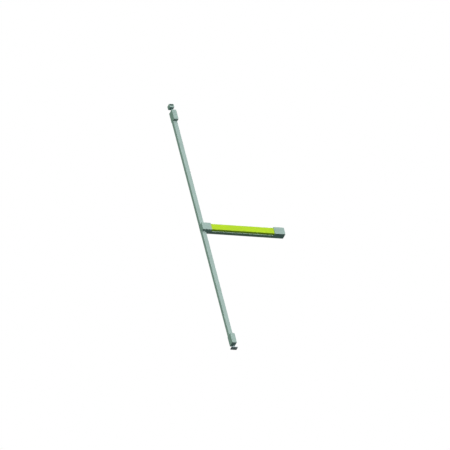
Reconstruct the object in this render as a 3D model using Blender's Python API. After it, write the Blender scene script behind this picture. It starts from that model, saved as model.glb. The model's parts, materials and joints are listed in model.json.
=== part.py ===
"""Surface-mounted emergency exit lock: a push bar that draws two vertical bolts.

Frame: X along the push bar, Y into the door, Z up, in metres. The origin is on the door's face,
on the line of the vertical rods, at the height of the push bar's middle.
"Depth" below is the distance out from the door's face, so a point at depth d has y = -d.
"""

from math import acos, atan, cos, hypot, pi, radians, sin, tan

import bmesh
import bpy
from mathutils import Matrix, Vector

# Clearances
FIT = 0.0003
RUN = 0.0005
CUT_OVER = 0.001

# Push bar
BAR_HEIGHT = 0.060
HEAD_WIDTH = 0.070
PAD_SPAN = 0.475
END_CAP_LENGTH = 0.080
CAP_DEPTH = 0.050
CAP_WALL = 0.0015
CAP_ROUND = 0.003
CHASSIS_DEPTH = 0.028
CHASSIS_WALL = 0.0022
CHASSIS_LIP = 0.0025
PAD_HEIGHT = 0.050
PAD_FRONT = 0.0465
PAD_WALL = 0.002
PAD_FLANGE = 0.0024
PAD_ROUND = 0.005
PAD_TRAVEL = 0.014

# Vertical rod covers
COVER_WIDTH = 0.031
COVER_DEPTH = 0.0265
COVER_WALL = 0.0015
COVER_LIP = 0.0014
COVER_ROUND = 0.002

# Latch cases at the ends of the rods
CASE_WIDTH = 0.035
CASE_DEPTH = 0.050
CASE_HEIGHT = 0.083
CASE_WALL = 0.0015
CASE_ROUND = 0.0025
CASE_SHEET = 0.0025
CASE_EAR_EDGE = 0.00375

# Bolts, keeper and floor strike
BOLT_DIAMETER = 0.0115
BOLT_AXIS = 0.020
BOLT_TIP_CHAMFER = 0.0015
BOLT_HOLE_CLEARANCE = 0.0005
KEEPER_FACE = 1.051
KEEPER_GAP = 0.0315
KEEPER_HEIGHT = 0.030
KEEPER_DEPTH = 0.035
KEEPER_WALL = 0.002
KEEPER_ROUND = 0.003
KEEPER_POCKET = 0.014
KEEPER_ENGAGEMENT = 0.010
KEEPER_BOSS_DIAMETER = 0.009
KEEPER_BOSS_MARGIN = 0.001
FLOOR_FACE = 1.050
FLOOR_GAP = 0.0265
FLOOR_THICKNESS = 0.004
FLOOR_WIDTH = 0.046
FLOOR_LENGTH = 0.032
FLOOR_ROUND = 0.003
FLOOR_ENGAGEMENT = 0.0035
FLOOR_SCREW_OFFSET = 0.0145

# Rods and what joins them to the bolts
ROD_DIAMETER = 0.008
ROD_AXIS = 0.0145
ROD_SOCKET = 0.0075
ROD_NUT_FLATS = 0.012
ROD_NUT_HEIGHT = 0.005
CARRIER_WIDTH = 0.018
CARRIER_HEIGHT = 0.018
BOLT_SPRING_LENGTH = 0.033
BOLT_SPRING_DIAMETER = 0.0135
BOLT_SPRING_TURNS = 6
SPRING_WIRE = 0.0013
GUIDE_HEIGHT = 0.016

# Drive gear, racks and their seat in the head
MODULE = 0.001
GEAR_TEETH = 14
PINION_TEETH = 10
PRESSURE = radians(25)
ADDENDUM = 0.0008
DEDENDUM = 0.00105
BACKLASH = 0.00025
AXLE_DIAMETER = 0.005
AXLE_FLANGE = 0.0007
GEAR_FACE = 0.007
RACK_BODY = 0.00425
YOKE_HEIGHT = 0.012
YOKE_DEPTH = 0.012
YOKE_OVERHANG = 0.006
BASE_THICKNESS = 0.003
GUIDE_WALL = 0.0014
GUIDE_WALL_HEIGHT = 0.026
SHELF_HALF_HEIGHT = 0.018
RETAINER_THICKNESS = 0.0015

# Control bar and bell cranks
BAR_WIDTH = 0.006
BAR_START = 0.0046
BAR_THICKNESS = 0.0058
PIN_DIAMETER = 0.004
CRANK_PIVOT_DEPTH = 0.022
CRANK_PLATE = 0.003
CRANK_ARM_WIDTH = 0.010
PAD_ARM = 0.023
LEFT_CRANK_INSET = 0.0655
RIGHT_CRANK_INSET = 0.0695
BRACKET_SHEET = 0.0015
BRACKET_LENGTH = 0.024
PAD_SPRING_DIAMETER = 0.010
PAD_SPRING_TURNS = 7
PAD_SPRING_OFFSET = 0.018

# Screws
MOUNT_HOLE = 0.0052
SCREW_SHANK = 0.0038
SCREW_HEAD = 0.0068
SCREW_HEAD_HEIGHT = 0.002
SCREW_LENGTH = 0.008
SCREW_BLOCK = 0.010
HEAD_SCREW_DEPTH = 0.0085
CASE_SCREW_DEPTH = 0.007
CASE_SCREW_OFFSET = 0.017

# Facets
ROUND_SIDES = 16
SMALL_SIDES = 12
CORNER_STEPS = 3
SHARP = radians(35)

# Places that follow from the sizes
HEAD_LEFT = -COVER_WIDTH / 2
HEAD_RIGHT = HEAD_LEFT + HEAD_WIDTH
END_LEFT = HEAD_RIGHT + PAD_SPAN
END_RIGHT = END_LEFT + END_CAP_LENGTH
COVER_INSIDE = COVER_WIDTH / 2 - COVER_WALL
CASE_INSIDE = CASE_WIDTH / 2 - CASE_WALL
TOP_CASE_START = KEEPER_FACE - KEEPER_GAP - CASE_HEIGHT
BOTTOM_CASE_START = FLOOR_FACE - FLOOR_GAP - CASE_HEIGHT
GEAR_RADIUS = MODULE * GEAR_TEETH / 2
PINION_RADIUS = MODULE * PINION_TEETH / 2
BAR_AXIS = BAR_START + BAR_WIDTH / 2
BAR_ARM = CRANK_PIVOT_DEPTH - BAR_AXIS
HALF_SWING = atan(PAD_TRAVEL / 2 / PAD_ARM)
BAR_TRAVEL = 2 * BAR_ARM * tan(HALF_SWING)
ROD_TRAVEL = BAR_TRAVEL * GEAR_RADIUS / PINION_RADIUS
PINION_START = BASE_THICKNESS + FIT + AXLE_FLANGE + FIT
GEAR_START = ROD_AXIS - GEAR_FACE / 2
GEAR_END = ROD_AXIS + GEAR_FACE / 2
RACK_OUTER = GEAR_RADIUS + DEDENDUM + RACK_BODY
GUIDE_INNER = RACK_OUTER + FIT
GUIDE_OUTER = GUIDE_INNER + GUIDE_WALL
YOKE_START = SHELF_HALF_HEIGHT + ROD_TRAVEL + 3 * RUN
YOKE_END = YOKE_START + YOKE_HEIGHT
BAR_TOP = -PINION_RADIUS + ADDENDUM
CRANK_TOP = BAR_TOP + CRANK_PLATE + 0.0007
EAR_TOP_START = CRANK_TOP + 2 * RUN
EAR_BOTTOM_END = BAR_TOP - BAR_THICKNESS - RUN
FORK_REACH = BAR_ARM / cos(HALF_SWING) + PIN_DIAMETER * 0.4
HOLE_RADIUS = BOLT_DIAMETER / 2 + BOLT_HOLE_CLEARANCE
CASE_EAR_DEPTH = BOLT_AXIS + HOLE_RADIUS + CASE_EAR_EDGE
FLANGE_FRONT = CHASSIS_DEPTH - CHASSIS_LIP - FIT
LEFT_CRANK_PLACE = HEAD_RIGHT + LEFT_CRANK_INSET
RIGHT_CRANK_PLACE = END_LEFT - RIGHT_CRANK_INSET
SIDES = (("left", LEFT_CRANK_PLACE), ("right", RIGHT_CRANK_PLACE))


def clear_scene():
    for old in list(bpy.data.objects):
        bpy.data.objects.remove(old, do_unlink=True)


def finish(name, colour, roughness, metallic):
    """A material from an sRGB colour with channels up to 255."""
    made = bpy.data.materials.new(name)
    made.use_nodes = True
    shader = made.node_tree.nodes["Principled BSDF"]
    linear = [((c / 255 + 0.055) / 1.055) ** 2.4 for c in colour]
    shader.inputs["Base Color"].default_value = (*linear, 1)
    shader.inputs["Roughness"].default_value = roughness
    shader.inputs["Metallic"].default_value = metallic
    made.diffuse_color = (*linear, 1)
    return made


clear_scene()
COVER_PAINT = finish("cover_paint", (172, 195, 186), 0.45, 0.0)
CASE_PAINT = finish("case_paint", (165, 187, 181), 0.45, 0.0)
PAD_PAINT = finish("pad_paint", (180, 217, 40), 0.4, 0.0)
RAIL_ALUMINIUM = finish("rail_aluminium", (150, 168, 160), 0.4, 0.6)
STEEL = finish("zinc_steel", (165, 175, 180), 0.35, 1.0)
BOLT_STEEL = finish("bolt_steel", (170, 188, 198), 0.25, 1.0)
NYLON = finish("nylon", (60, 64, 66), 0.55, 0.0)


def body_origin(name, place):
    """An empty on a moving body's joint axis, which its pieces hang from."""
    holder = bpy.data.objects.new(name, None)
    holder.location = place
    bpy.context.scene.collection.objects.link(holder)
    return holder


def piece(name, bm, material, holder=None):
    """Turn a bmesh in world place into an object whose origin is its holder's."""
    bmesh.ops.recalc_face_normals(bm, faces=bm.faces)
    if holder:
        bmesh.ops.translate(bm, verts=bm.verts, vec=-holder.location)
    mesh = bpy.data.meshes.new(name)
    bm.to_mesh(mesh)
    bm.free()
    mesh.materials.append(material)
    made = bpy.data.objects.new(name, mesh)
    made.parent = holder
    bpy.context.scene.collection.objects.link(made)
    mesh.shade_smooth()
    mesh.set_sharp_from_angle(angle=SHARP)
    return made


def carve(target, tool, operation="DIFFERENCE"):
    """Cut a bmesh out of a piece, or with UNION join it on."""
    guide = piece(target.name + "_tool", tool, target.data.materials[0])
    guide.hide_render = True
    guide.display_type = "WIRE"
    step = target.modifiers.new("shape", "BOOLEAN")
    step.operation = operation
    step.solver = "EXACT"
    step.object = guide
    return target


def settle():
    """Make each cut piece's result its own mesh, mark its sharp edges and clear the tools away."""
    graph = bpy.context.evaluated_depsgraph_get()
    shaped = [made for made in bpy.data.objects if made.modifiers]
    results = [bpy.data.meshes.new_from_object(made.evaluated_get(graph)) for made in shaped]
    for made, mesh in zip(shaped, results):
        made.modifiers.clear()
        made.data = mesh
        mesh.shade_smooth()
        mesh.set_sharp_from_angle(angle=SHARP)
    for guide in [made for made in bpy.data.objects if made.hide_render]:
        bpy.data.objects.remove(guide)


def join(target, *tools):
    for tool in tools:
        carve(target, tool, "UNION")
    return target


PLANES = {
    "X": lambda a, b, along: (along, -a, b),
    "Y": lambda a, b, along: (a, -along, b),
    "Z": lambda a, b, along: (a, -b, along),
}


def prism(outline, axis, start, end):
    """Extrude an outline of (depth, z) points along X, (x, z) along depth or (x, depth) along Z."""
    place = PLANES[axis]
    bm = bmesh.new()
    face = bm.faces.new([bm.verts.new(place(a, b, start)) for a, b in outline])
    grown = bmesh.ops.extrude_face_region(bm, geom=[face])["geom"]
    moved = [v for v in grown if isinstance(v, bmesh.types.BMVert)]
    shift = Vector(place(0, 0, end)) - Vector(place(0, 0, start))
    bmesh.ops.translate(bm, verts=moved, vec=shift)
    return bm


def box(x, depth, z):
    """A box from its ranges along X, depth and Z."""
    outline = [(x[0], depth[0]), (x[1], depth[0]), (x[1], depth[1]), (x[0], depth[1])]
    return prism(outline, "Z", z[0], z[1])


def soft_box(x, depth, z, radius):
    """A box whose edges are rounded, apart from those against the door."""
    bm = box(x, depth, z)
    back = -depth[0]
    edges = [e for e in bm.edges if any(abs(v.co.y - back) > 1e-7 for v in e.verts)]
    bmesh.ops.bevel(
        bm, geom=edges, offset=radius, offset_type="OFFSET", affect="EDGES",
        segments=CORNER_STEPS, profile=0.5, material=-1, clamp_overlap=True,
    )
    return bm


def arc(centre, radius, start, end, steps):
    """Points of an arc, its angles in degrees."""
    turn = [radians(start + (end - start) * i / steps) for i in range(steps + 1)]
    return [(centre[0] + radius * cos(t), centre[1] + radius * sin(t)) for t in turn]


def circle(centre, radius, sides=ROUND_SIDES):
    half_side = 180 / sides
    return arc(centre, radius, half_side, half_side + 360, sides)[:-1]


def slot(centre_a, centre_b, width):
    """The outline of a slot or a bar with round ends, between two points."""
    dx, dy = centre_b[0] - centre_a[0], centre_b[1] - centre_a[1]
    lean = acos(dx / hypot(dx, dy)) * (1 if dy >= 0 else -1) * 180 / pi
    first = arc(centre_a, width / 2, lean + 90, lean + 270, 6)
    return first + arc(centre_b, width / 2, lean - 90, lean + 90, 6)


def rounded(outline, radii):
    """Round the corners of an outline. Radii go by corner number; other corners stay sharp."""
    points = []
    for i, corner in enumerate(outline):
        if i not in radii:
            points.append(corner)
            continue
        here = Vector(corner)
        back = (Vector(outline[i - 1]) - here).normalized() * radii[i]
        ahead = (Vector(outline[(i + 1) % len(outline)]) - here).normalized() * radii[i]
        centre = here + back + ahead
        for k in range(CORNER_STEPS + 1):
            t = pi / 2 * k / CORNER_STEPS
            point = centre - ahead * cos(t) - back * sin(t)
            points.append(tuple(point))
    return points


def mirrored(outline):
    """The full outline of a channel from its upper half, mirrored about z = 0."""
    return outline + [(a, -b) for a, b in reversed(outline)]


def cylinder(axis, centre, radius, start, end, sides=ROUND_SIDES):
    return prism(circle(centre, radius, sides), axis, start, end)


def screw_hole(axis, centre, start, end):
    """The tool for a cover screw's hole."""
    return cylinder(axis, centre, SCREW_SHANK / 2 + FIT, start, end, SMALL_SIDES)


def mount_hole(axis, centre, thickness):
    """The tool for a fixing hole through a sheet that lies against the door."""
    return cylinder(axis, centre, MOUNT_HOLE / 2, -CUT_OVER, thickness + CUT_OVER, SMALL_SIDES)


def turned(section, closed=False, sides=ROUND_SIDES):
    """Spin a half section of (radius, height) points round Z, into one closed surface."""
    bm = bmesh.new()
    verts = [bm.verts.new((r, 0, h)) for r, h in section]
    pairs = list(zip(verts, verts[1:]))
    if closed:
        pairs.append((verts[-1], verts[0]))
    edges = [bm.edges.new(pair) for pair in pairs]
    bmesh.ops.spin(
        bm, geom=verts + edges, cent=(0, 0, 0), axis=(0, 0, 1), angle=2 * pi,
        steps=sides, use_merge=True,
    )
    bmesh.ops.remove_doubles(bm, verts=bm.verts, dist=1e-7)
    return bm


def out_of_door(bm, x, z, depth=0.0):
    """Stand a turned shape on the door's face, its height becoming depth."""
    turn = Matrix.Translation((x, -depth, z)) @ Matrix.Rotation(pi / 2, 4, "X")
    bmesh.ops.transform(bm, matrix=turn, verts=bm.verts)
    return bm


def gear_outline(teeth, first_tooth):
    """Involute teeth, with one centred at the angle first_tooth."""
    pitch = MODULE * teeth / 2
    base = pitch * cos(PRESSURE)
    root, tip = pitch - DEDENDUM, pitch + ADDENDUM
    half = (pi * MODULE / 2 - BACKLASH) / 2 / pitch + tan(PRESSURE) - PRESSURE
    start = max(base, root)
    flank = []
    for k in range(4):
        radius = start + (tip - start) * k / 3
        roll = acos(min(1.0, base / radius))
        flank.append((radius, half - (tan(roll) - roll)))
    if root < base:
        flank.insert(0, (root, half))
    sides = [(r, -a) for r, a in flank] + list(reversed(flank))
    points = []
    for tooth in range(teeth):
        centre = first_tooth + 2 * pi * tooth / teeth
        points += [(r * cos(centre + a), r * sin(centre + a)) for r, a in sides]
    return points


def rack_teeth(start, end):
    """Teeth of a straight rack as (along, height over its pitch line), with a gap at zero."""
    step = pi * MODULE
    half = (step / 2 - BACKLASH) / 2
    tip, root = half - ADDENDUM * tan(PRESSURE), half + DEDENDUM * tan(PRESSURE)
    points = []
    count = int(start / step) - 2
    while (count + 0.5) * step + root < end:
        centre = (count + 0.5) * step
        if centre - root > start:
            points += [(centre - root, -DEDENDUM), (centre - tip, ADDENDUM)]
            points += [(centre + tip, ADDENDUM), (centre + root, -DEDENDUM)]
        count += 1
    return points


def spring(diameter, wire, turns, length):
    """A compression spring along Z from zero, with closed ends."""
    steps = 12
    sides = 5
    radius = (diameter - wire) / 2
    bm = bmesh.new()
    rings = []
    total = steps * turns
    for i in range(total + 1):
        part = i / total
        rest = 1 / turns
        climb = min(max((part - rest) / (1 - 2 * rest), 0), 1)
        coil = wire * 1.1 * (min(part, rest) + max(part - 1 + rest, 0)) / rest
        height = wire / 2 + coil + climb * (length - wire * 3.2)
        turn = Matrix.Rotation(2 * pi * turns * part, 4, "Z")
        ring = []
        for k in range(sides):
            t = 2 * pi * k / sides
            point = Vector((radius + wire / 2 * cos(t), 0, height + wire / 2 * sin(t)))
            ring.append(bm.verts.new(turn @ point))
        rings.append(ring)
    for ring, after in zip(rings, rings[1:]):
        for k in range(sides):
            n = (k + 1) % sides
            bm.faces.new((ring[k], ring[n], after[n], after[k]))
    bm.faces.new(rings[0])
    bm.faces.new(list(reversed(rings[-1])))
    return bm


def pan_screw():
    """A pan head screw with its seat at zero, the head upwards and a hexagon socket."""
    shank, head = SCREW_SHANK / 2, SCREW_HEAD / 2
    dome = SCREW_HEAD_HEIGHT
    section = [
        (0, -SCREW_LENGTH), (shank * 0.7, -SCREW_LENGTH), (shank, -SCREW_LENGTH + shank * 0.4),
        (shank, 0), (head, 0), (head, dome * 0.4), (head * 0.8, dome * 0.85), (head * 0.45, dome),
        (head * 0.4, dome * 0.3), (0, dome * 0.3),
    ]
    return turned(section, sides=SMALL_SIDES)


def side_screw(name, x, depth, z):
    """A pan head screw in a face that looks along X."""
    screw = pan_screw()
    turn = Matrix.Translation((x, -depth, z)) @ Matrix.Rotation(pi / 2, 4, "Y")
    bmesh.ops.transform(screw, matrix=turn, verts=screw.verts)
    return piece(name, screw, STEEL)


def rod_cover(name, sign, case_start):
    """The folded channel over one rod, with short lips against the door."""
    half, wall = COVER_WIDTH / 2, COVER_WALL
    lip = COVER_INSIDE - COVER_LIP
    right = [(lip, FIT), (half, FIT), (half, COVER_DEPTH)]
    left = [(-x, d) for x, d in reversed(right)]
    front = COVER_DEPTH - wall
    inner_left = [(-lip, FIT + wall), (-COVER_INSIDE, FIT + wall), (-COVER_INSIDE, front)]
    inner_right = [(-x, d) for x, d in reversed(inner_left)]
    outline = right + left + inner_left + inner_right
    outline = rounded(outline, {2: COVER_ROUND, 3: COVER_ROUND})
    start, end = sorted((sign * (BAR_HEIGHT / 2 - CAP_WALL), sign * (case_start - FIT)))
    return piece(name, prism(outline, "Z", start, end), COVER_PAINT)


def rod_guide(name, sign, place):
    """A moulded block screwed to the door: the rod runs through it and the cover snaps over it."""
    wide = COVER_INSIDE - FIT
    narrow = wide - COVER_LIP
    groove = FIT + COVER_WALL + FIT
    top = COVER_DEPTH - COVER_WALL - FIT
    right = [(narrow, 0), (narrow, groove), (wide, groove), (wide, top)]
    outline = right + [(-x, d) for x, d in reversed(right)]
    start = sign * place - GUIDE_HEIGHT / 2
    end = start + GUIDE_HEIGHT
    block = piece(name, prism(outline, "Z", start, end), NYLON)
    bore = ROD_DIAMETER / 2 + FIT
    carve(block, cylinder("Z", (0, ROD_AXIS), bore, start - CUT_OVER, end + CUT_OVER))
    for side in (-1, 1):
        hole_x = side * (bore + wide) / 2
        carve(block, screw_hole("Y", (hole_x, sign * place), -CUT_OVER, top + CUT_OVER))
    return block


def head_base_plate():
    """The cast base in the head: rack walls, shelf for the racks and a lug for the cover screw."""
    left, right = HEAD_LEFT + CAP_WALL + FIT, HEAD_RIGHT - FIT
    half = BAR_HEIGHT / 2 - CAP_WALL - FIT
    outline = [(left, -half), (right, -half), (right, half), (left, half)]
    corner = CAP_ROUND - CAP_WALL - FIT
    outline = rounded(outline, {i: corner for i in range(4)})
    base = piece("head_base_plate", prism(outline, "Y", 0, BASE_THICKNESS), STEEL)
    wall_top = GEAR_END + FIT
    shelf_top = GEAR_START - FIT
    shelf_inner = GUIDE_INNER - RACK_BODY * 0.65
    foot = BASE_THICKNESS - CUT_OVER
    for side in (-1, 1):
        wall_x = sorted((side * GUIDE_INNER, side * min(GUIDE_OUTER, -left)))
        shelf_x = sorted((side * shelf_inner, side * (GUIDE_INNER + CUT_OVER / 2)))
        join(
            base,
            box(wall_x, (foot, wall_top), (-GUIDE_WALL_HEIGHT, GUIDE_WALL_HEIGHT)),
            box(shelf_x, (foot, shelf_top), (-SHELF_HALF_HEIGHT, SHELF_HALF_HEIGHT)),
        )
    lug_x = HEAD_RIGHT - HEAD_WIDTH / 4
    wide = SCREW_BLOCK * 0.6
    lug_depth = HEAD_SCREW_DEPTH + SCREW_BLOCK / 2
    join(base, box((lug_x - wide, lug_x + wide), (foot, lug_depth), (half - SCREW_BLOCK, half)))
    room = 2 * RUN - FIT
    channel = box(
        (-GUIDE_INNER + FIT / 3, HEAD_RIGHT + CUT_OVER),
        (BAR_START - RUN, shelf_top + CUT_OVER * 10),
        (BAR_TOP - BAR_THICKNESS - room, BAR_TOP + room),
    )
    carve(base, channel)
    bottom = half - SCREW_BLOCK - CUT_OVER
    carve(base, screw_hole("Z", (lug_x, HEAD_SCREW_DEPTH), bottom, half + CUT_OVER))
    for z in (-half * 0.7, half * 0.4):
        carve(base, mount_hole("Y", (HEAD_WIDTH * 0.43, z), BASE_THICKNESS))
    return base


def head_cover():
    """The cap over the gear, open at the back and where the rod covers and the bar come in."""
    half = BAR_HEIGHT / 2
    x, depth, z = (HEAD_LEFT, HEAD_RIGHT), (0, CAP_DEPTH), (-half, half)
    cover = piece("head_cover", soft_box(x, depth, z, CAP_ROUND), CASE_PAINT)
    inside_x = (HEAD_LEFT + CAP_WALL, HEAD_RIGHT - CAP_WALL)
    inside = half - CAP_WALL
    inner_depth = (-CUT_OVER, CAP_DEPTH - CAP_WALL)
    carve(cover, soft_box(inside_x, inner_depth, (-inside, inside), CAP_ROUND - CAP_WALL))
    side_x = (HEAD_RIGHT - 5 * CAP_WALL, HEAD_RIGHT + CUT_OVER)
    carve(cover, box(side_x, (-CUT_OVER, CHASSIS_DEPTH + FIT), (-inside, inside)))
    reach = COVER_WIDTH / 2 + FIT
    for side in (-1, 1):
        seat = sorted((side * (inside - FIT), side * (half + CUT_OVER)))
        carve(cover, box((-reach, reach), (-CUT_OVER, COVER_DEPTH + FIT), seat))
    lug_x = HEAD_RIGHT - HEAD_WIDTH / 4
    hole = (lug_x, HEAD_SCREW_DEPTH)
    carve(cover, screw_hole("Z", hole, inside - CUT_OVER, half + CUT_OVER))
    screw = pan_screw()
    place = (lug_x, -HEAD_SCREW_DEPTH, half + FIT)
    bmesh.ops.translate(screw, verts=screw.verts, vec=place)
    piece("head_cover_screw", screw, STEEL)
    return cover


def gear_train():
    """Axle, two-step gear, retaining plate and clip."""
    shaft = AXLE_DIAMETER / 2
    bore = shaft + FIT * 0.7
    foot = BASE_THICKNESS + FIT
    plate_start = GEAR_END + 2 * FIT + RUN / 5
    plate_end = plate_start + RETAINER_THICKNESS
    clip_start = plate_end + FIT
    clip_end = clip_start + 0.001
    groove = shaft - 0.0006
    flange, slack = shaft * 1.7, FIT / 3
    section = [
        (0, foot), (flange, foot), (flange, foot + AXLE_FLANGE), (shaft, foot + AXLE_FLANGE),
        (shaft, clip_start - slack), (groove, clip_start - slack), (groove, clip_end + slack),
        (shaft, clip_end + slack), (shaft, clip_end + 0.001), (0, clip_end + 0.001),
    ]
    piece("gear_axle", out_of_door(turned(section), 0, 0), STEEL)
    holder = body_origin("drive_gear_axis", (0, -ROD_AXIS, 0))
    gear = prism(gear_outline(GEAR_TEETH, 0), "Y", GEAR_START, GEAR_END)
    wheel = piece("drive_gear", gear, STEEL, holder)
    pinion = prism(gear_outline(PINION_TEETH, -pi / 2), "Y", PINION_START, GEAR_START + RUN)
    join(wheel, pinion)
    carve(wheel, cylinder("Y", (0, 0), bore, PINION_START - CUT_OVER, GEAR_END + CUT_OVER))
    wide, high = GUIDE_OUTER - FIT, SHELF_HALF_HEIGHT
    plate = [(-wide, -high), (wide, -high), (wide, high), (-wide, high)]
    plate = rounded(plate, {i: 2 * RETAINER_THICKNESS for i in range(4)})
    retainer = piece("gear_retainer", prism(plate, "Y", plate_start, plate_end), STEEL)
    carve(retainer, cylinder("Y", (0, 0), bore, plate_start - CUT_OVER, plate_end + CUT_OVER))
    inner = groove + FIT / 2
    outer = shaft * 1.8
    half_gap = 40
    ring = arc((0, 0), outer, half_gap, 360 - half_gap, 14)
    ring += arc((0, 0), inner, 360 - half_gap, half_gap, 14)
    piece("axle_clip", prism(ring, "Y", clip_start, clip_end), STEEL)
    return holder


def rack_outline():
    """The upper rack seen from the front: toothed leg down the left, yoke across to the rod."""
    inner = GEAR_RADIUS + DEDENDUM
    bottom = -2.1 * MODULE * pi / 2 - MODULE * pi / 2
    teeth = rack_teeth(bottom, ROD_TRAVEL + 1.6 * MODULE * pi)
    leg = [(-(GEAR_RADIUS - height), along) for along, height in teeth]
    outline = [(-RACK_OUTER, YOKE_END), (-RACK_OUTER, bottom), (-inner, bottom)] + leg
    yoke = [(-inner, YOKE_START), (YOKE_OVERHANG, YOKE_START), (YOKE_OVERHANG, YOKE_END)]
    return outline + yoke


def rack(name, sign, holder):
    """A rack with its yoke; the lower one is the upper one turned half round the gear's axis."""
    flip = [(sign * x, sign * z) for x, z in rack_outline()]
    made = piece(name, prism(flip, "Y", GEAR_START, GEAR_END), STEEL, holder)
    x = sorted((-sign * RACK_OUTER, sign * YOKE_OVERHANG))
    z = sorted((sign * YOKE_START, sign * YOKE_END))
    depth = (ROD_AXIS - YOKE_DEPTH / 2, ROD_AXIS + YOKE_DEPTH / 2)
    join(made, box(x, depth, z))
    bore = ROD_DIAMETER / 2 + FIT
    hole = sorted((sign * (YOKE_END + CUT_OVER), sign * (YOKE_END - ROD_SOCKET - FIT)))
    carve(made, cylinder("Z", (0, ROD_AXIS), bore, hole[0], hole[1]))
    return made


def rod_line(prefix, bolt_prefix, sign, case_start, tip):
    """One rack, rod, lock nut, carrier and bolt, which slide as one body."""
    holder = body_origin(prefix + "_rod_axis", (0, -ROD_AXIS, 0))
    rack(prefix + "_rack", sign, holder)
    spring_start = case_start + CASE_WALL + FIT + CASE_SHEET + FIT
    carrier = spring_start + BOLT_SPRING_LENGTH + FIT
    carrier_end = carrier + CARRIER_HEIGHT

    def span(start, end):
        return sorted((sign * start, sign * end))

    rod = span(YOKE_END - ROD_SOCKET, carrier + ROD_SOCKET)
    rod_bm = cylinder("Z", (0, ROD_AXIS), ROD_DIAMETER / 2, rod[0], rod[1])
    piece(prefix + "_rod", rod_bm, STEEL, holder)
    corner = ROD_NUT_FLATS / 2 / cos(pi / 6)
    nut = span(YOKE_END + FIT, YOKE_END + FIT + ROD_NUT_HEIGHT)
    hexagon = arc((0, ROD_AXIS), corner, 0, 360, 6)[:-1]
    nut_piece = piece(prefix + "_rod_nut", prism(hexagon, "Z", nut[0], nut[1]), STEEL, holder)
    bore = ROD_DIAMETER / 2 + FIT
    carve(nut_piece, cylinder("Z", (0, ROD_AXIS), bore, nut[0] - CUT_OVER, nut[1] + CUT_OVER))

    block_depth = (ROD_AXIS - bore - 0.002, BOLT_AXIS + BOLT_DIAMETER / 2 + 0.0023)
    half = CARRIER_WIDTH / 2
    block = span(carrier, carrier_end)
    carrier_bm = box((-half, half), block_depth, block)
    held = piece(bolt_prefix + "_bolt_carrier", carrier_bm, STEEL, holder)
    rod_hole = span(carrier - CUT_OVER, carrier + ROD_SOCKET + FIT)
    carve(held, cylinder("Z", (0, ROD_AXIS), bore, rod_hole[0], rod_hole[1]))
    bolt_bore = BOLT_DIAMETER / 2 + FIT
    bolt_hole = span(carrier_end - ROD_SOCKET - FIT, carrier_end + CUT_OVER)
    carve(held, cylinder("Z", (0, BOLT_AXIS), bolt_bore, bolt_hole[0], bolt_hole[1]))

    foot, radius = carrier_end - ROD_SOCKET, BOLT_DIAMETER / 2
    section = [
        (0, foot), (radius, foot), (radius, tip - BOLT_TIP_CHAMFER),
        (radius - BOLT_TIP_CHAMFER, tip), (0, tip),
    ]
    bolt = turned([(r, sign * h) for r, h in section])
    bmesh.ops.translate(bolt, verts=bolt.verts, vec=(0, -BOLT_AXIS, 0))
    piece(bolt_prefix + "_bolt", bolt, BOLT_STEEL, holder)

    coil = spring(BOLT_SPRING_DIAMETER, SPRING_WIRE, BOLT_SPRING_TURNS, BOLT_SPRING_LENGTH)
    if sign < 0:
        bmesh.ops.rotate(coil, verts=coil.verts, cent=(0, 0, 0), matrix=Matrix.Rotation(pi, 3, "X"))
    bmesh.ops.translate(coil, verts=coil.verts, vec=(0, -ROD_AXIS, sign * spring_start))
    piece(bolt_prefix + "_bolt_spring", coil, STEEL)
    return holder


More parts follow.
